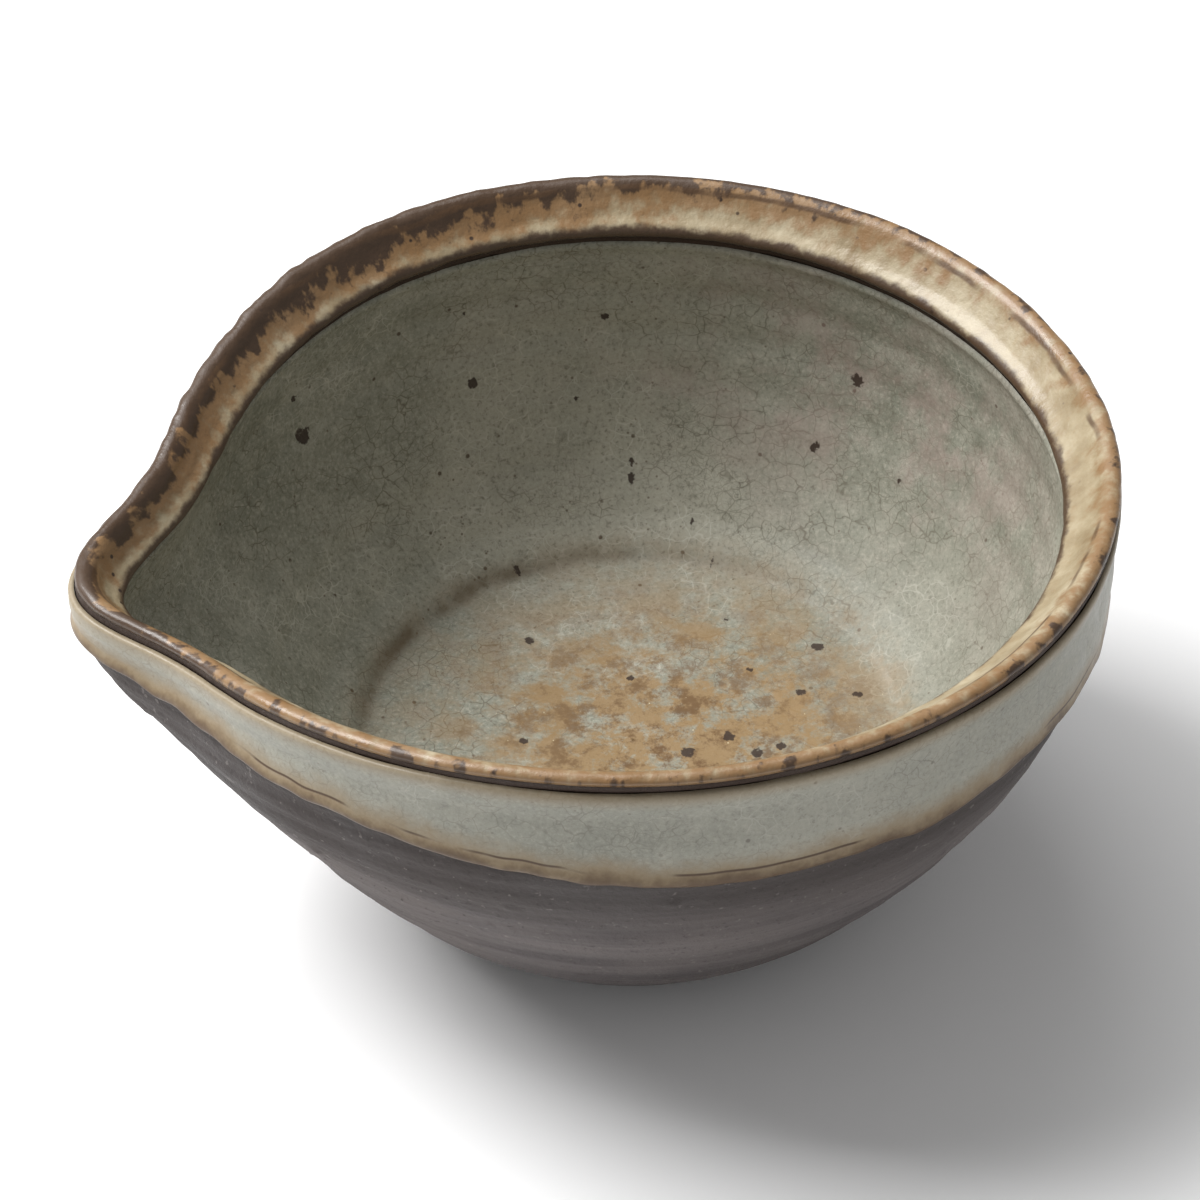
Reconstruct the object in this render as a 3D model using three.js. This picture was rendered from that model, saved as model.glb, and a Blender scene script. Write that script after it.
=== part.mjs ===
// Spouted stoneware pouring bowl of the katakuchi kind: a hand-thrown wall with a rim collar and a lip drawn
// out into a beak, a foot ring, and three coats of glaze that iron-dark lines divide. Millimetres, +Z up.
// The bowl stands on the table plane, its beak points to -X, and the origin is under the middle of its
// whole length.
import * as THREE from "three";

// Size and place
const RIM_RADIUS = 62; // outer edge of the lip, before the oval and the beak
const RIM_HEIGHT = 64.9; // where the outside of the wall turns into the lip
const OVAL = 0.022; // the rim is this share longer along the beak, and this share narrower across
const BEAK_REACH = 9.9; // how far the beak stands out past the rim
const BEAK_SPREAD = THREE.MathUtils.degToRad(8);
const LIP_DIP = 9.3; // how far the rim sinks towards the beak
const LIP_DIP_SPREAD = THREE.MathUtils.degToRad(27);
const BACK_DIP = 1.9; // the rim also sinks a little opposite the beak
const BACK_DIP_SPREAD = THREE.MathUtils.degToRad(40);
const THROAT_SWELL = 2.5; // swelling of the wall under the beak
const THROAT_SPREAD = THREE.MathUtils.degToRad(22);
const PULL_START = 28; // below this height the wall is as it was thrown
const AXIS_X = BEAK_REACH / 2; // the throwing axis lies behind the middle of the length

// Glaze
const GLAZE_GAP = 0.45; // room between a coat and the clay
const GLAZE_THICKNESS = 0.6;

const SEGMENTS = 60;
const CROWDING = 0.4; // how strongly the segments crowd together at the beak

// Outlines in the lathe plane, as [radius, height]. The solid is always on the left of the path.
const UNDERSIDE = [[0, 5.5], [23, 5.2], [30.5, 3.6]];
const BELLY = [[37, 6.2], [44.1, 14.3], [50.5, 23.6], [55.7, 32.9], [59, 41], [60.4, 47.6]];
const OUTER_BAND = [[60, 49.2], [60.1, 54], [59.5, 59.5], [60.6, 63.8]];
const LIP_EDGE = [[RIM_RADIUS, 64.7], [RIM_RADIUS, 65.9]];
const COLLAR = [[60.9, 66.4], [60, 66.3], [58.5, 64], [55, 60.6]];
const GROOVE = [[54.8, 59.6], [55.8, 58.7]];
const INNER_WALL = [[56.3, 57], [56.6, 50], [55.4, 43], [52.6, 35], [47.9, 26.5], [42.2, 20], [36.7, 16.2]];
const FLOOR = [[34.4, 15.4], [0, 14.8]];
const FOOT_RING = [[24, 0], [28, 0], [29.2, 1.2], [29.6, 3.4], [24.3, 4.6], [23.4, 1]];

const CLAY_COLOUR = 0x6b5f5a;
const FOOT_COLOUR = 0x665a54;
const CELADON_COLOUR = 0x9a9b86;
const CREAM_COLOUR = 0xcbb58c;

const bell = (angle, spread) => Math.exp(-0.5 * (angle / spread) ** 2);

// Moves a path sideways, to the right of its direction, which is the side of the air.
function offsetPath(path, distance) {
  const normals = path.slice(1).map(([r, z], i) => {
    const along = new THREE.Vector2(r - path[i][0], z - path[i][1]).normalize();
    return new THREE.Vector2(along.y, -along.x);
  });
  return path.map(([r, z], i) => {
    const before = normals[Math.max(i - 1, 0)];
    const after = normals[Math.min(i, normals.length - 1)];
    const middle = before.clone().add(after).normalize();
    const reach = distance / middle.dot(after);
    return [r + middle.x * reach, z + middle.y * reach];
  });
}

// Turns an outline round the axis and then pulls it by hand, as the potter does: oval, beak and sunken rim.
function thrown(outline) {
  const points = outline.map(([r, z]) => new THREE.Vector2(r, z));
  const geometry = new THREE.LatheGeometry(points, SEGMENTS);
  geometry.rotateX(Math.PI / 2);
  const position = geometry.attributes.position;
  for (let i = 0; i < position.count; i += 1) {
    const x = position.getX(i);
    const y = position.getY(i);
    const z = position.getZ(i);
    const lathed = Math.atan2(y, -x);
    const around = lathed - CROWDING * Math.sin(lathed);
    const behind = Math.PI - Math.abs(around);
    const share = THREE.MathUtils.clamp((z - PULL_START) / (RIM_HEIGHT - PULL_START), 0, 1);
    const pull = THREE.MathUtils.smoothstep(share, 0, 1);
    const swell = THROAT_SWELL * bell(around, THROAT_SPREAD) * 4 * share * (1 - share);
    const oval = 1 + OVAL * Math.cos(2 * around) * Math.min(z / RIM_HEIGHT, 1);
    const lathedRadius = Math.hypot(x, y);
    const pulled = lathedRadius > 1 ? BEAK_REACH * bell(around, BEAK_SPREAD) * pull + swell : 0;
    const radius = lathedRadius * oval + pulled;
    const dip = LIP_DIP * bell(around, LIP_DIP_SPREAD) + BACK_DIP * bell(behind, BACK_DIP_SPREAD);
    position.setXYZ(i, AXIS_X - radius * Math.cos(around), radius * Math.sin(around), z - dip * pull);
  }
  geometry.computeVertexNormals();
  return geometry;
}

// A coat lies on a stretch of the clay's own outline, so it follows the clay everywhere. A stretch that ends
// on the axis makes a coat without a hole in the middle.
function coatOutline(stretch) {
  const back = offsetPath(stretch, GLAZE_GAP).reverse();
  const front = offsetPath(stretch, GLAZE_GAP + GLAZE_THICKNESS);
  if (stretch[stretch.length - 1][0] > 0) {
    return [...front, ...back, front[0]];
  }
  back[0][0] = 0;
  front[front.length - 1][0] = 0;
  return [...back, ...front];
}

const vessel = new THREE.Group();

function addPiece(name, outline, color, roughness) {
  const material = new THREE.MeshStandardMaterial({ color, roughness, metalness: 0 });
  const mesh = new THREE.Mesh(thrown(outline), material);
  mesh.name = name;
  vessel.add(mesh);
}

const clayOutline = [
  ...UNDERSIDE, ...BELLY, ...OUTER_BAND, ...LIP_EDGE, ...COLLAR, ...GROOVE, ...INNER_WALL, ...FLOOR,
];
addPiece("stoneware_bowl", clayOutline, CLAY_COLOUR, 0.85);
addPiece("foot_ring", [...FOOT_RING, FOOT_RING[0]], FOOT_COLOUR, 0.9);
addPiece("outer_glaze_band", coatOutline(OUTER_BAND), CELADON_COLOUR, 0.35);
addPiece("collar_glaze", coatOutline(COLLAR), CREAM_COLOUR, 0.3);
addPiece("interior_glaze", coatOutline([...INNER_WALL, ...FLOOR]), CELADON_COLOUR, 0.25);

export default vessel;
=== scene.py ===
"""A spouted stoneware pouring bowl in crazed celadon and cream glaze, on a white table."""

import math

import bpy
import numpy as np
from mathutils import Matrix


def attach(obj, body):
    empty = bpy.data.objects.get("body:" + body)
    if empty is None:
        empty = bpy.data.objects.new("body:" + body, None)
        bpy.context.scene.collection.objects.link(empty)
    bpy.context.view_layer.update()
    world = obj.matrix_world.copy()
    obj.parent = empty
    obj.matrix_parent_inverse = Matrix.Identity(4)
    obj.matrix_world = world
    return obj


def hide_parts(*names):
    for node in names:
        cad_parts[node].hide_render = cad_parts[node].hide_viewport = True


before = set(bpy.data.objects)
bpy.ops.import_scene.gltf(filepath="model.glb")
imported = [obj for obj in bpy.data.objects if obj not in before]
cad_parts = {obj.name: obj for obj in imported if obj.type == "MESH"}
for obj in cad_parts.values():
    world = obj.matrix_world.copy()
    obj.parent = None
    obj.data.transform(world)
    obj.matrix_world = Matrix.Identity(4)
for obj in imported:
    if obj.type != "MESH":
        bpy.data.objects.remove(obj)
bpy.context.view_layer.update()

MM = 0.001

# Size and place, in millimetres
RIM_RADIUS = 62.0
RIM_HEIGHT = 64.9
OVAL = 0.022
BEAK_REACH = 9.9
BEAK_SPREAD = math.radians(8)
LIP_DIP = 9.3
LIP_DIP_SPREAD = math.radians(27)
BACK_DIP = 1.9
BACK_DIP_SPREAD = math.radians(40)
THROAT_SWELL = 3.2
THROAT_SPREAD = math.radians(22)
PULL_START = 28.0
AXIS_X = BEAK_REACH / 2

# The outer glaze ends at this height, and higher under the beak
GLAZE_LINE = 47.4
GLAZE_LINE_RISE = 9.6
GLAZE_LINE_SPREAD = math.radians(38)

COAT_BACK = 0.25  # a coat's back lies this far off the clay
COAT_FACE = 1.0  # and its face this far
COAT_EDGE = 1.2  # width of a coat's rounded edge

AROUND = 720  # segments round a piece
STEP = 0.5  # millimetres between rings

# Outlines in the lathe plane, as (radius, height). The solid is on the left of the path.
UNDERSIDE = [(0, 5.5), (12, 5.4), (23, 5.2), (27, 4.4), (30.5, 3.65)]
BELLY = [(33, 4.2), (37, 6.4), (44, 14.4), (50.4, 23.6), (55.6, 32.9), (58.8, 41), (60, 47.4)]
UPPER_WALL = [(60, 49), (60.2, 54), (59.7, 59.5), (60.7, 64.2)]
LIP_EDGE = [(61.3, 64.8), (61.3, 65.3)]
COLLAR = [(60.6, 66), (59.9, 65.8), (58.6, 64), (57, 62), (55.2, 60.6)]
GROOVE = [(54.9, 59.7), (55.7, 58.8)]
INNER_WALL = [(56.3, 57), (56.6, 50), (55.4, 43), (52.6, 35), (47.9, 26.5), (42.2, 20), (36.9, 16.4)]
FLOOR = [(34.4, 15.5), (17, 15), (0, 14.8)]
FOOT_RING = [(24, 0), (28, 0), (29.1, 1.1), (29.5, 3.4), (24.4, 4.6), (23.5, 1), (24, 0)]
FLOOR_RING_RADIUS = 36.0
COLLAR_COAT = [(61.1, 65.5)] + COLLAR + [(54.95, 60.0)]
LINING = [(55.45, 58.95)] + INNER_WALL + FLOOR

# Blots of iron on the lining: angle from the beak in degrees, height as thrown, and size, in millimetres
IRON_SPOTS = [
    (46, 43.5, 1.3), (76, 38.9, 0.8), (97, 45.6, 0.6), (136, 42.5, 1.0), (132, 31.5, 0.8), (101, 24.3, 0.6),
    (101, 26.0, 0.5), (46, 50.1, 0.5), (76, 49.6, 0.4), (92, 34.3, 0.4), (148, 32.5, 0.4), (113, 20.3, 0.4),
    (75, 17.2, 0.6), (119, 17.2, 0.5),
]
SPOTTED_WALL_RADIUS = 52.0
# and on the floor: angle from the beak, distance from the axis, and size
FLOOR_SPOTS = [
    (156, 31.0, 0.9), (176, 31.5, 0.7), (170, 24.5, 0.7), (65, 23.9, 0.7), (9, 14.4, 0.7), (151, 21, 0.5),
    (-150, 8, 1.0), (-172, 13, 0.9), (-160, 17, 0.9), (-165, 20, 0.7), (100, 12, 0.5), (130, 27, 0.4),
]


def bell(angle, spread):
    return np.exp(-0.5 * (angle / spread) ** 2)


def turn_from(centre, around):
    """The angle from centre, the short way round, so that nothing jumps at the back of the bowl."""
    return (around - centre + math.pi) % (2 * math.pi) - math.pi


def smooth(value):
    value = np.clip(value, 0, 1)
    return value * value * (3 - 2 * value)


def lattice_noise(points, cell, seed):
    """Smooth value noise from -1 to 1 at points in millimetres, with lumps about one cell across."""
    size = 32
    values = np.random.RandomState(seed).uniform(-1, 1, (size, size, size))
    scaled = points / cell
    base = np.floor(scaled).astype(int)
    part = smooth(scaled - base)
    total = 0
    for dx in (0, 1):
        for dy in (0, 1):
            for dz in (0, 1):
                cell_x, cell_y, cell_z = np.moveaxis((base + (dx, dy, dz)) % size, -1, 0)
                corner = values[cell_x, cell_y, cell_z]
                weight = np.abs(1 - dx - part[..., 0]) * np.abs(1 - dy - part[..., 1])
                total = total + corner * weight * np.abs(1 - dz - part[..., 2])
    return total


def on_wall(radius, height, around):
    """The place on the thrown wall, in millimetres, for noise without a seam."""
    return np.stack([radius * np.cos(around), radius * np.sin(around), height], -1)


def rounded(path, step=STEP):
    """Points every step along a path of straight lines, with its corners eased."""
    path = np.array(path, float)
    length = np.concatenate([[0], np.cumsum(np.hypot(*np.diff(path, axis=0).T))])
    count = max(int(length[-1] / step), 2)
    along = np.linspace(0, length[-1], count + 1)
    points = np.stack([np.interp(along, length, path[:, i]) for i in (0, 1)], 1)
    for _ in range(5):
        points[1:-1] = (points[:-2] + 2 * points[1:-1] + points[2:]) / 4
    return points


def offset(points, distance):
    """Moves a path towards the air, which is on its right."""
    along = np.gradient(points, axis=0)
    along /= np.maximum(np.hypot(*along.T), 1e-9)[:, None]
    distance = np.broadcast_to(distance, len(points))[:, None]
    return points + distance * np.stack([along[:, 1], -along[:, 0]], 1)


def pulled(radius, height, around):
    """The potter's shaping of the thrown wall: oval, beak and sunken rim."""
    share = np.clip((height - PULL_START) / (RIM_HEIGHT - PULL_START), 0, 1)
    pull = smooth(share)
    behind = math.pi - np.abs(around)
    swell = THROAT_SWELL * bell(around, THROAT_SPREAD) * 4 * share * (1 - share)
    oval = 1 + OVAL * np.cos(2 * around) * np.minimum(height / RIM_HEIGHT, 1)
    beak = BEAK_REACH * bell(around, BEAK_SPREAD) * pull
    out = radius * oval + (beak + swell) * np.clip(radius / 30, 0, 1)
    dip = LIP_DIP * bell(around, LIP_DIP_SPREAD) + BACK_DIP * bell(behind, BACK_DIP_SPREAD)
    return out, height - dip * pull


def spot_field(around, reach, spots, use_height):
    """How much iron lies at each point. reach is the height, or on the floor the distance from the axis."""
    total = np.zeros(np.broadcast(around, reach).shape)
    for degrees, place, size in spots:
        turn = turn_from(math.radians(degrees), around)
        radius = SPOTTED_WALL_RADIUS if use_height else place
        across = turn * radius
        away = np.hypot(across, reach - place)
        total = np.maximum(total, smooth(1.6 - away / size))
    return total


def turned(name, path, relief=None, closed=False, fields=None):
    """Turns a path round the axis. relief changes radius and height, and fields are stored on the mesh."""
    turn = np.linspace(-math.pi, math.pi, AROUND, endpoint=False)
    radius, around = np.meshgrid(path[:, 0], turn, indexing="ij")
    height = np.meshgrid(path[:, 1], turn, indexing="ij")[0]
    if relief is not None:
        radius, height = relief(radius, height, around)
    stored = {"thrown": on_wall(radius, height, around) * MM}
    for key, make in (fields or {}).items():
        stored[key] = make(radius, height, around)
    radius, height = pulled(radius, height, around)
    vertices = np.stack([AXIS_X - radius * np.cos(around), radius * np.sin(around), height], 2)
    rings = len(path)
    i = np.arange(rings if closed else rings - 1)[:, None]
    j = np.arange(AROUND)[None, :]
    low, high, k = i * AROUND, (i + 1) % rings * AROUND, (j + 1) % AROUND
    faces = np.stack([low + j, high + j, high + k, low + k], 2).reshape(-1, 4)
    mesh = bpy.data.meshes.new(name)
    mesh.from_pydata((vertices.reshape(-1, 3) * MM).tolist(), [], faces.tolist())
    for key, values in stored.items():
        if values.ndim == 3:
            mesh.attributes.new(key, "FLOAT_VECTOR", "POINT").data.foreach_set("vector", values.ravel())
        else:
            mesh.attributes.new(key, "FLOAT", "POINT").data.foreach_set("value", values.ravel())
    mesh.polygons.foreach_set("use_smooth", [True] * len(mesh.polygons))
    piece = bpy.data.objects.new(name, mesh)
    bpy.context.scene.collection.objects.link(piece)
    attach(piece, "root")
    return piece


def coat(name, stretch, relief, fields, step=STEP):
    """A closed shell of glaze over a stretch of the clay's outline, with rounded edges."""
    line = rounded(stretch, step)
    ends_on_axis = stretch[-1][0] == 0
    from_edge = np.arange(len(line)) * step
    if not ends_on_axis:
        from_edge = np.minimum(from_edge, from_edge[::-1])
    edge = np.sqrt(1 - (1 - np.clip(from_edge / COAT_EDGE, 0, 1)) ** 2)
    front = offset(line, COAT_BACK + (COAT_FACE - COAT_BACK) * edge)
    back = offset(line, COAT_BACK)[::-1]
    if not ends_on_axis:
        back = back[1:-1]
    return turned(name, np.concatenate([front, back]), relief, closed=True, fields=fields)


def body_relief(radius, height, around):
    """Turning rings, a turned ridge near the base, and the coarse skin of the clay."""
    place = on_wall(radius, height, around)
    rings = 0.09 * np.sin(height * 2 * math.pi / 4.6) + 0.045 * np.sin(height * 2 * math.pi / 1.5 + 1)
    ridge = 0.35 * bell(height - 12.5, 1.1) - 0.3 * bell(height - 14.6, 1.2)
    lumps = 0.22 * lattice_noise(place, 14, 1) + 0.07 * lattice_noise(place, 2.2, 2)
    bumps = 0.5 * np.clip(lattice_noise(place, 3.1, 3) - 0.72, 0, 1) / 0.28
    shown = np.clip((radius - 32) / 6, 0, 1) * np.clip((62 - height) / 4, 0, 1)
    return radius + (rings + ridge + lumps + bumps - 0.3) * shown, height


def wall_relief(radius, height, around):
    """The throwing spiral, pits, and the shallow ring where the wall meets the floor."""
    place = on_wall(radius, height, around)
    spiral = 0.07 * np.sin(height * 2 * math.pi / 6.3 + around)
    lumps = 0.16 * lattice_noise(place, 11, 4) + 0.035 * lattice_noise(place, 2.0, 5)
    wall = np.clip((radius - 37) / 3, 0, 1)
    ring_share = 0.35 + 0.65 * bell(turn_from(0.6, around), 1.3)
    ring_depth = 0.55 * bell(radius - FLOOR_RING_RADIUS, 1.0) * ring_share
    floor = 0.12 * lattice_noise(place, 6, 6) + 0.05 * lattice_noise(place, 1.8, 7)
    floor = floor * np.clip(radius / 4, 0, 1) * (1 - wall)
    return radius + (spiral + lumps) * wall, height - ring_depth + floor


def glaze_line(around):
    """The height at which the outer glaze ends, with its uneven runs."""
    place = on_wall(BELLY[-1][0], 0 * around, around)
    runs = 0.75 * lattice_noise(place, 9, 8) + 0.4 * lattice_noise(place, 3.4, 9)
    return GLAZE_LINE + GLAZE_LINE_RISE * bell(around, GLAZE_LINE_SPREAD) + runs


def band_relief(radius, height, around):
    """Squeezes the band between the lip and the uneven glaze line, and thickens its lower edge."""
    low, high = UPPER_WALL[0][1], UPPER_WALL[-1][1]
    share = np.clip((height - low) / (high - low), 0, 1)
    lower = glaze_line(around)
    placed = height + (lower - low) * (1 - share)
    place = on_wall(radius, placed, around)
    lumps = 0.13 * lattice_noise(place, 9, 10) + 0.04 * lattice_noise(place, 1.9, 11)
    radii, heights = np.transpose(BELLY + UPPER_WALL)
    follow = np.interp(placed, heights, radii) - np.interp(height, heights, radii)
    roll = 0.25 * bell(placed - lower - 1.0, 0.8)
    return radius + follow + lumps + roll, placed


def lip_relief(radius, height, around):
    """An uneven, lumpy lip, roughest on the far side of the beak."""
    place = on_wall(radius, height, around)
    rough = 0.10 + 0.22 * bell(turn_from(0.75, around), 0.5) + 0.12 * bell(around, 0.2)
    lumps = lattice_noise(place, 2.6, 12) + 0.5 * lattice_noise(place, 1.3, 13)
    wave = 0.3 * lattice_noise(place, 16, 14)
    top = np.clip((height - 62) / 3, 0, 1)
    return radius + (rough * lumps - 0.3) * 0.7, height + (rough * lumps * 0.6 + wave - 0.35) * top


class Nodes:
    """A short way to write a material's node tree."""

    def __init__(self, name):
        self.material = bpy.data.materials.new(name)
        self.material.use_nodes = True
        self.tree = self.material.node_tree
        self.shader = self.tree.nodes["Principled BSDF"]
        self.place = self.add("ShaderNodeTexCoord").outputs["Object"]

    def add(self, kind, **values):
        node = self.tree.nodes.new(kind)
        for key, value in values.items():
            setattr(node, key, value)
        return node

    def link(self, source, target):
        self.tree.links.new(source, target)

    def field(self, name, output="Fac"):
        return self.add("ShaderNodeAttribute", attribute_name=name).outputs[output]

    def noise(self, scale, detail=4, roughness=0.55, place=None, output="Fac"):
        node = self.add("ShaderNodeTexNoise")
        node.inputs["Scale"].default_value = scale
        node.inputs["Detail"].default_value = detail
        node.inputs["Roughness"].default_value = roughness
        self.link(place or self.place, node.inputs["Vector"])
        return node.outputs[output]

    def cells(self, scale, feature, place=None):
        node = self.add("ShaderNodeTexVoronoi", feature=feature)
        node.inputs["Scale"].default_value = scale
        self.link(place or self.place, node.inputs["Vector"])
        return node.outputs["Distance"]

    def ramp(self, source, *stops):
        node = self.add("ShaderNodeValToRGB")
        while len(node.color_ramp.elements) < len(stops):
            node.color_ramp.elements.new(0.5)
        for element, (position, colour) in zip(node.color_ramp.elements, stops):
            element.position = position
            element.color = (*colour, 1)
        self.link(source, node.inputs["Fac"])
        return node.outputs["Color"]

    def span(self, source, low, high, out_low=0.0, out_high=1.0):
        node = self.add("ShaderNodeMapRange", interpolation_type="SMOOTHSTEP")
        for key, value in zip(("From Min", "From Max", "To Min", "To Max"), (low, high, out_low, out_high)):
            node.inputs[key].default_value = value
        self.link(source, node.inputs["Value"])
        return node.outputs["Result"]

    def math(self, operation, a, b):
        node = self.add("ShaderNodeMath", operation=operation)
        for socket, value in zip(node.inputs, (a, b)):
            if isinstance(value, (int, float)):
                socket.default_value = value
            else:
                self.link(value, socket)
        return node.outputs["Value"]

    def times(self, *values):
        total = values[0]
        for value in values[1:]:
            total = self.math("MULTIPLY", total, value)
        return total

    def mix(self, share, a, b):
        node = self.add("ShaderNodeMix", data_type="RGBA")
        factor, first, second = node.inputs[0], node.inputs[6], node.inputs[7]
        for socket, value in zip((factor, first, second), (share, a, b)):
            if isinstance(value, (int, float)):
                socket.default_value = value
            elif isinstance(value, tuple):
                socket.default_value = (*value, 1)
            else:
                self.link(value, socket)
        return node.outputs[2]

    def warped(self, place, scale, reach):
        """place, moved about by a noise of that scale, up to reach in metres."""
        shift = self.add("ShaderNodeVectorMath", operation="SCALE")
        self.link(self.noise(scale, 2, 0.5, place, "Color"), shift.inputs[0])
        shift.inputs["Scale"].default_value = reach
        total = self.add("ShaderNodeVectorMath", operation="ADD")
        self.link(place, total.inputs[0])
        self.link(shift.outputs["Vector"], total.inputs[1])
        return total.outputs["Vector"]

    def stretched(self, place, factors):
        node = self.add("ShaderNodeVectorMath", operation="MULTIPLY")
        self.link(place, node.inputs[0])
        node.inputs[1].default_value = factors
        return node.outputs["Vector"]

    def shaken(self, source, noise, reach):
        """source, moved up and down by a noise, by up to half of reach either way."""
        return self.math("ADD", source, self.math("MULTIPLY", self.math("SUBTRACT", noise, 0.5), reach))

    def gap(self, source, place):
        """How far source is from place."""
        return self.math("ABSOLUTE", self.math("SUBTRACT", source, place), 0.0)

    def axis(self, place, letter):
        split = self.add("ShaderNodeSeparateXYZ")
        self.link(place, split.inputs["Vector"])
        return split.outputs[letter]

    def bump(self, source, distance, strength=1.0, under=None):
        node = self.add("ShaderNodeBump")
        node.inputs["Distance"].default_value = distance
        node.inputs["Strength"].default_value = strength
        self.link(source, node.inputs["Height"])
        if under is not None:
            self.link(under, node.inputs["Normal"])
        return node.outputs["Normal"]

    def finish(self, colour, roughness, normal=None):
        self.link(colour, self.shader.inputs["Base Color"])
        self.link(roughness, self.shader.inputs["Roughness"])
        if normal is not None:
            self.link(normal, self.shader.inputs["Normal"])
        return self.material


def clay_material():
    n = Nodes("stoneware_clay")
    thrown = n.field("thrown", "Vector")
    height = n.axis(thrown, "Z")
    rings = n.noise(55, 4, 0.6, n.stretched(thrown, (0.25, 0.25, 3.0)))
    cloud = n.noise(45, 5)
    shades = (0.055, 0.045, 0.045), (0.098, 0.083, 0.082), (0.155, 0.134, 0.13)
    base = n.ramp(rings, *zip((0.34, 0.5, 0.66), shades))
    base = n.mix(n.span(cloud, 0.35, 0.7, 0.0, 0.5), base, (0.19, 0.165, 0.155))
    dark = n.span(height, 0.033, 0.044, 0.0, 0.75)
    base = n.mix(dark, base, (0.046, 0.036, 0.033))
    grit = n.span(n.noise(1400, 3, 0.6), 0.6, 0.7)
    base = n.mix(n.times(grit, 0.55), base, (0.03, 0.022, 0.02))
    pale = n.span(n.noise(1000, 2, 0.5), 0.66, 0.74)
    base = n.mix(n.times(pale, 0.4), base, (0.3, 0.27, 0.25))
    iron = n.span(height, 0.0555, 0.058)
    base = n.mix(iron, base, (0.035, 0.017, 0.009))
    normal = n.bump(n.noise(700, 5, 0.7), 0.0004, 1.0)
    normal = n.bump(n.noise(170, 3), 0.0004, 0.7, normal)
    return n.finish(base, n.span(cloud, 0.3, 0.7, 0.6, 0.82), normal)


def crazing(n, scale):
    """Thin cracks in two sizes, shorter up the wall than round it."""
    place = n.warped(n.stretched(n.field("thrown", "Vector"), (1.0, 1.0, 1.2)), 330, 0.0022)
    wide = n.span(n.cells(scale, "DISTANCE_TO_EDGE", place), 0.0, 0.045, 1.0, 0.0)
    fine = n.span(n.cells(scale * 2.3, "DISTANCE_TO_EDGE", place), 0.0, 0.05, 1.0, 0.0)
    patches = n.span(n.noise(70, 3), 0.4, 0.62)
    wide = n.times(wide, n.span(n.noise(180, 3), 0.3, 0.6))
    return n.math("MAXIMUM", wide, n.times(fine, patches, 0.6))


def celadon_glaze(name):
    """The shared part of the celadon coats: colour clouds, crazing and small specks."""
    n = Nodes(name)
    cloud = n.noise(20, 4)
    fine = n.noise(260, 5, 0.65)
    shades = (0.225, 0.23, 0.182), (0.285, 0.285, 0.23), (0.36, 0.35, 0.285)
    base = n.ramp(cloud, *zip((0.34, 0.5, 0.66), shades))
    base = n.mix(n.span(fine, 0.4, 0.7, 0.0, 0.4), base, (0.44, 0.42, 0.35))
    base = n.mix(n.span(fine, 0.3, 0.45, 0.35, 0.0), base, (0.2, 0.195, 0.15))
    grain = n.noise(1700, 3, 0.7)
    base = n.mix(n.span(grain, 0.5, 0.72, 0.0, 0.5), base, (0.5, 0.47, 0.39))
    base = n.mix(n.span(grain, 0.3, 0.48, 0.6, 0.0), base, (0.12, 0.11, 0.08))
    cracks = crazing(n, 400)
    pale = n.noise(45, 2)
    base = n.mix(n.times(cracks, n.span(pale, 0.5, 0.6), 0.45), base, (0.6, 0.58, 0.5))
    base = n.mix(n.times(cracks, n.span(pale, 0.48, 0.58, 0.7, 0.0)), base, (0.1, 0.085, 0.055))
    specks = n.span(n.cells(300, "F1"), 0.06, 0.12, 1.0, 0.0)
    base = n.mix(n.times(specks, n.span(n.noise(150, 2), 0.5, 0.56), 0.85), base, (0.06, 0.035, 0.018))
    dots = n.span(n.cells(700, "F1"), 0.08, 0.16, 1.0, 0.0)
    base = n.mix(n.times(dots, n.span(n.noise(330, 2), 0.55, 0.6), 0.7), base, (0.09, 0.06, 0.035))
    normal = n.bump(n.noise(420, 4, 0.6), 0.00012, 0.8)
    normal = n.bump(cracks, 0.00006, -0.6, normal)
    n.shader.inputs["Specular IOR Level"].default_value = 0.35
    return n, base, fine, normal


def lining_material():
    n, base, fine, normal = celadon_glaze("celadon_lining")
    # Painted shade darkens the lower right of the lining.
    base = n.mix(n.times(n.field("painted_shade"), 0.4), base, (0.16, 0.155, 0.12))
    mauve = n.times(n.span(n.noise(60, 5, 0.7), 0.42, 0.66), n.field("blush"))
    base = n.mix(n.times(mauve, 0.6), base, (0.38, 0.28, 0.25))
    ochre = n.times(n.span(n.noise(120, 6, 0.75), 0.36, 0.6), n.field("ochre"))
    base = n.mix(n.math("MINIMUM", n.times(ochre, 1.5), 0.85), base, (0.27, 0.165, 0.065))
    rust = n.times(n.span(n.noise(260, 6, 0.75), 0.46, 0.62), n.field("ochre"))
    base = n.mix(n.times(rust, 0.95), base, (0.12, 0.062, 0.022))
    ring = n.times(n.field("ring"), n.span(n.noise(150, 3), 0.3, 0.6, 0.3, 1.0))
    base = n.mix(ring, base, (0.105, 0.07, 0.035))
    ragged = n.shaken(n.field("iron"), n.noise(900, 4, 0.7), 2.2)
    base = n.mix(n.times(n.span(ragged, 0.55, 0.85), 0.93), base, (0.028, 0.014, 0.008))
    glints = n.times(n.span(n.cells(900, "F1"), 0.05, 0.1, 1.0, 0.0), n.field("ochre"))
    base = n.mix(n.times(glints, n.span(n.noise(500, 2), 0.56, 0.62)), base, (0.85, 0.75, 0.5))
    return n.finish(base, n.span(fine, 0.3, 0.7, 0.48, 0.68), normal)


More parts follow.
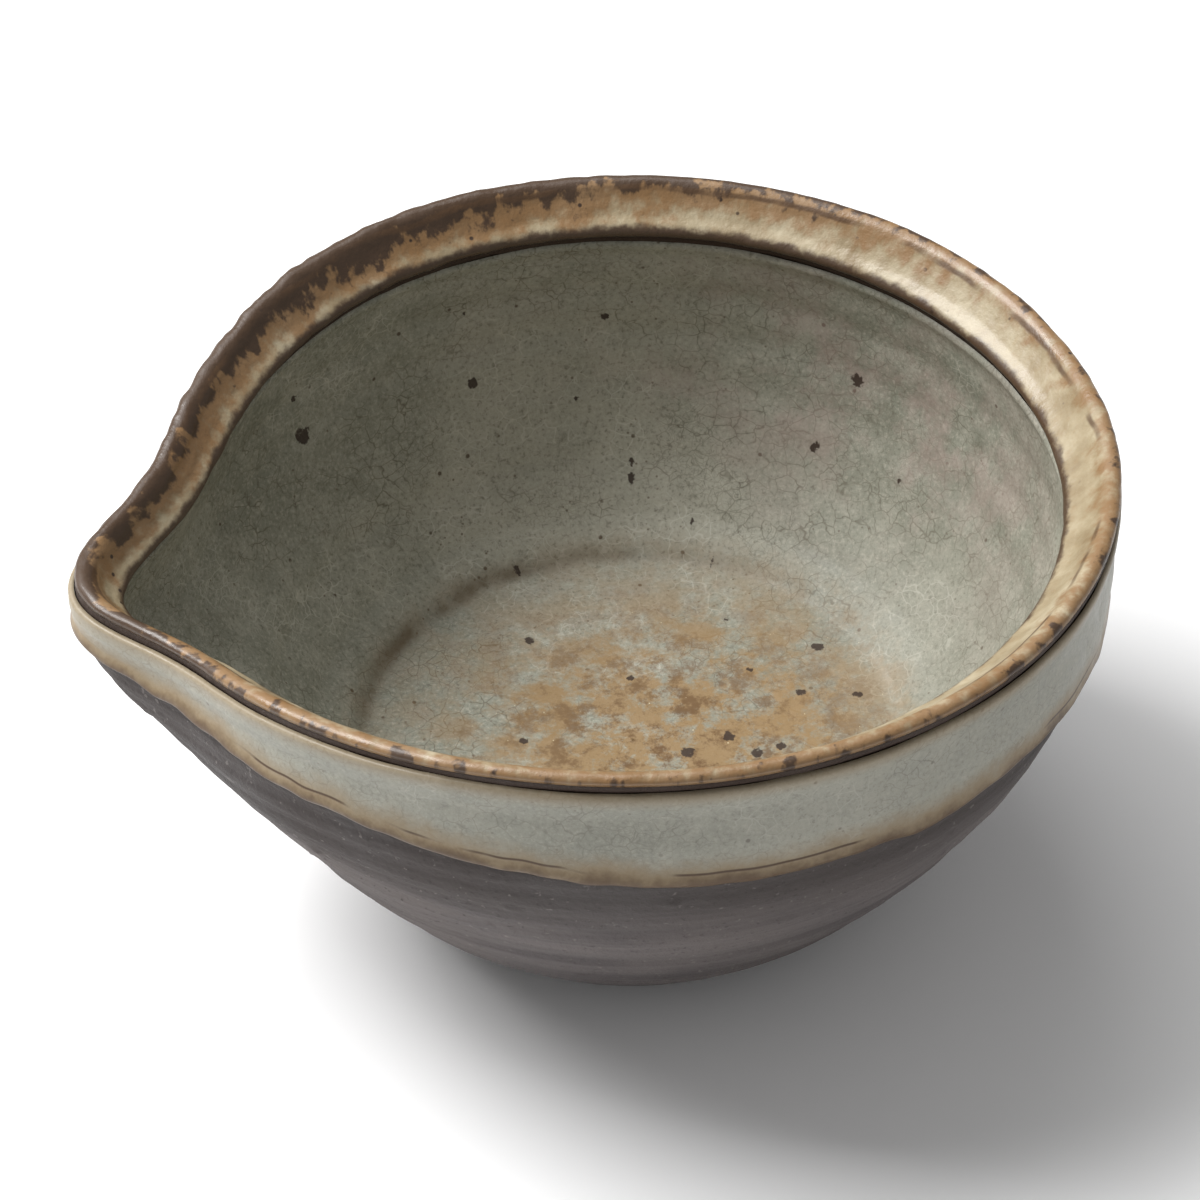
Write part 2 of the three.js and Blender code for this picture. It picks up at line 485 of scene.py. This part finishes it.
def band_material():
    n, base, fine, normal = celadon_glaze("celadon_band")
    base = n.mix(0.35, base, (0.42, 0.41, 0.36))
    low = n.field("to_edge")
    ragged = n.shaken(low, n.noise(160, 4, 0.7), 5.0)
    base = n.mix(n.span(ragged, 1.5, 6.5, 0.85, 0.0), base, (0.27, 0.185, 0.09))
    base = n.mix(n.span(ragged, 0.4, 2.8, 0.92, 0.0), base, (0.09, 0.048, 0.02))
    line = n.span(n.gap(low, 2.6), 0.05, 0.3, 1.0, 0.0)
    base = n.mix(n.times(line, n.span(n.noise(60, 3), 0.5, 0.6)), base, (0.07, 0.035, 0.015))
    high = n.span(n.axis(n.field("thrown", "Vector"), "Z"), 0.061, 0.064)
    base = n.mix(n.times(high, 0.6), base, (0.3, 0.21, 0.11))
    return n.finish(base, n.span(fine, 0.3, 0.7, 0.32, 0.5), normal)


def collar_material():
    n = Nodes("cream_collar_glaze")
    depth = n.field("inward")
    streaks = n.noise(330, 4, 0.6, n.stretched(n.field("thrown", "Vector"), (1.0, 1.0, 0.18)))
    cloud = n.noise(130, 5, 0.6)
    shades = (0.24, 0.17, 0.09), (0.36, 0.29, 0.18), (0.47, 0.4, 0.27)
    base = n.ramp(cloud, *zip((0.3, 0.5, 0.66), shades))
    base = n.mix(n.span(n.noise(600, 3), 0.5, 0.7, 0.0, 0.3), base, (0.3, 0.2, 0.1))
    # The runs turn browner and darker where the lip is browner: partly iron brown, partly painted shade on
    # the far left and the far side.
    runs = n.math("SUBTRACT", n.shaken(depth, streaks, -13.0), n.times(n.field("brown_and_painted_shade"), 4.4))
    base = n.mix(n.span(runs, 1.0, 4.6, 0.85, 0.0), base, (0.24, 0.125, 0.045))
    base = n.mix(n.span(runs, -0.9, 0.5, 0.96, 0.0), base, (0.055, 0.028, 0.013))
    line = n.gap(n.shaken(depth, n.noise(90, 3), 2.0), 3.7)
    broken = n.span(n.noise(70, 3), 0.42, 0.56)
    base = n.mix(n.times(n.span(line, 0.12, 0.5, 1.0, 0.0), broken, 0.9), base, (0.09, 0.045, 0.018))
    # The collar's inner edge darkens where it meets the groove: partly iron glaze, partly painted shade in
    # the groove.
    edge = n.shaken(depth, n.noise(240, 4, 0.7), 3.0)
    base = n.mix(n.span(edge, 8.3, 9.4, 0.0, 0.95), base, (0.06, 0.03, 0.014))
    specks = n.span(n.cells(420, "F1"), 0.08, 0.16, 1.0, 0.0)
    base = n.mix(n.times(specks, n.span(n.noise(200, 2), 0.54, 0.6)), base, (0.04, 0.02, 0.01))
    normal = n.bump(streaks, 0.0004, 0.5)
    normal = n.bump(n.noise(500, 4, 0.6), 0.00018, 0.9, normal)
    n.shader.inputs["Coat Weight"].default_value = 0.2
    n.shader.inputs["Coat Roughness"].default_value = 0.16
    return n.finish(base, n.span(cloud, 0.3, 0.7, 0.36, 0.56), normal)


def paint(piece, material, slot, *nodes):
    piece.data.materials.append(material)
    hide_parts(*nodes)


def lining_fields():
    """Where the lining blushes mauve or carries painted shade low on the right, where its floor turns
    ochre, and where iron lies.
    """
    def blush(radius, height, around):
        return bell(turn_from(2.45, around), 0.5) * bell(height - 42, 11)

    def ochre(radius, height, around):
        x, y = radius * np.cos(around), radius * np.sin(around)
        spread = np.exp(-0.5 * (np.hypot(x + 5, y + 3) / 20) ** 2)
        return spread * np.clip((20 - height) / 2, 0, 1)

    def ring(radius, height, around):
        strength = bell(turn_from(0.9, around), 0.75)
        return 0.85 * bell(radius - FLOOR_RING_RADIUS - 0.4, 0.8) * strength * (height < 25)

    def iron(radius, height, around):
        on_floor = radius < FLOOR_RING_RADIUS - 1
        wall = spot_field(around, height, IRON_SPOTS, True)
        floor = spot_field(around, radius, FLOOR_SPOTS, False)
        return np.where(on_floor, floor, wall)

    # Painted shade, strongest low on the right side of the lining.
    def painted_shade(radius, height, around):
        return bell(turn_from(-2.9, around), 0.8) * bell(height - 26, 13)

    return {"blush": blush, "painted_shade": painted_shade, "ochre": ochre, "ring": ring, "iron": iron}


def collar_fields():
    """How far inward of the lip's outer edge a point lies, and how brown and shaded the lip is round the
    bowl: partly its own iron brown, partly painted shade on the far left and the far side.
    """
    def inward(radius, height, around):
        return np.hypot(62.2 - radius, np.maximum(66.5 - height, 0) * (radius < 60.2))

    # Partly iron brown, partly painted shade, most on the far left and the far side.
    def brown_and_painted_shade(radius, height, around):
        far_left, top = bell(turn_from(0.75, around), 0.6), bell(turn_from(1.8, around), 0.6)
        return 0.12 + far_left + 0.6 * top + 0.3 * bell(around, 0.25)

    return {"inward": inward, "brown_and_painted_shade": brown_and_painted_shade}


def build_bowl():
    outline = UNDERSIDE + BELLY + UPPER_WALL + LIP_EDGE + COLLAR + GROOVE + INNER_WALL + FLOOR
    clay = turned("clay_body", rounded(outline), body_relief)
    paint(clay, clay_material(), "stoneware", "stoneware_bowl")
    foot = turned("turned_foot", rounded(FOOT_RING)[:-1], closed=True)
    paint(foot, clay.data.materials[0], "stoneware", "foot_ring")
    to_edge = {"to_edge": lambda radius, height, around: height - glaze_line(around)}
    band = coat("outer_glaze", UPPER_WALL, band_relief, to_edge)
    paint(band, band_material(), "celadon_glaze", "outer_glaze_band")
    collar = coat("collar_coat", COLLAR_COAT, lip_relief, collar_fields(), step=0.25)
    paint(collar, collar_material(), "cream_glaze", "collar_glaze")
    lining = coat("lining_glaze", LINING, wall_relief, lining_fields())
    paint(lining, lining_material(), "celadon_glaze", "interior_glaze")


def build_table():
    """A table that is pure white to the eye, and a little greyer in the light that it throws back."""
    half = 3.0
    mesh = bpy.data.meshes.new("table")
    corners = [(-half, -half, 0), (half, -half, 0), (half, half, 0), (-half, half, 0)]
    mesh.from_pydata(corners, [], [(0, 1, 2, 3)])
    floor = bpy.data.objects.new("table", mesh)
    bpy.context.scene.collection.objects.link(floor)
    n = Nodes("table_white")
    base = n.ramp(n.noise(3, 2), (0.3, (0.8, 0.8, 0.8)), (0.7, (0.82, 0.82, 0.82)))
    rays = n.add("ShaderNodeLightPath")
    seen = n.math("MAXIMUM", rays.outputs["Is Camera Ray"], rays.outputs["Is Glossy Ray"])
    seen = n.math("MAXIMUM", seen, rays.outputs["Is Transmission Ray"])
    base = n.mix(seen, base, (1.0, 1.0, 1.0))
    mesh.materials.append(n.finish(base, n.span(n.noise(8, 2), 0.3, 0.7, 0.7, 0.8)))


def build_light():
    world = bpy.data.worlds.new("studio")
    bpy.context.scene.world = world
    world.use_nodes = True
    world.node_tree.nodes["Background"].inputs["Color"].default_value = (1, 1, 1, 1)
    world.node_tree.nodes["Background"].inputs["Strength"].default_value = 0.34
    lamp("key", (-0.72, 0.42, 1.05), 0.7, 24)
    lamp("top", (-0.1, 0.55, 1.1), 0.7, 4)


def lamp(name, place, size, power):
    light = bpy.data.lights.new(name, "AREA")
    light.size = size
    light.energy = power
    holder = bpy.data.objects.new(name, light)
    bpy.context.scene.collection.objects.link(holder)
    holder.location = place
    holder.rotation_euler = (-holder.location).to_track_quat("-Z", "Y").to_euler()


def build_camera():
    """The photograph's view: ten rim radii away, 42 degrees up, and turned 10.8 degrees."""
    elevation, turn = math.radians(42), math.radians(-10.8)
    distance = 10 * RIM_RADIUS * MM
    pixels_per_radius = 482.8
    frame_pixels = 1200
    to_right = 33.5 / pixels_per_radius * RIM_RADIUS * MM
    to_top = 114 / pixels_per_radius * RIM_RADIUS * MM
    rim = np.array([AXIS_X, 0, RIM_HEIGHT - 4.1]) * MM
    right = np.array([math.cos(turn), math.sin(turn), 0])
    level = np.array([-math.sin(turn), math.cos(turn), 0])
    upright = np.array([0, 0, 1])
    forward = level * math.cos(elevation) - upright * math.sin(elevation)
    up = level * math.sin(elevation) + upright * math.cos(elevation)
    place = rim - to_right * right - to_top * up - distance * forward
    data = bpy.data.cameras.new("camera")
    data.sensor_width = 36
    data.lens = data.sensor_width * pixels_per_radius * 10 / frame_pixels
    camera = bpy.data.objects.new("camera", data)
    bpy.context.scene.collection.objects.link(camera)
    columns = [(*right, 0), (*up, 0), (*-forward, 0), (*place, 1)]
    camera.matrix_world = Matrix([tuple(map(float, column)) for column in columns]).transposed()
    bpy.context.scene.camera = camera


build_camera()
build_bowl()
build_table()
build_light()
bpy.context.scene.view_settings.view_transform = "Standard"
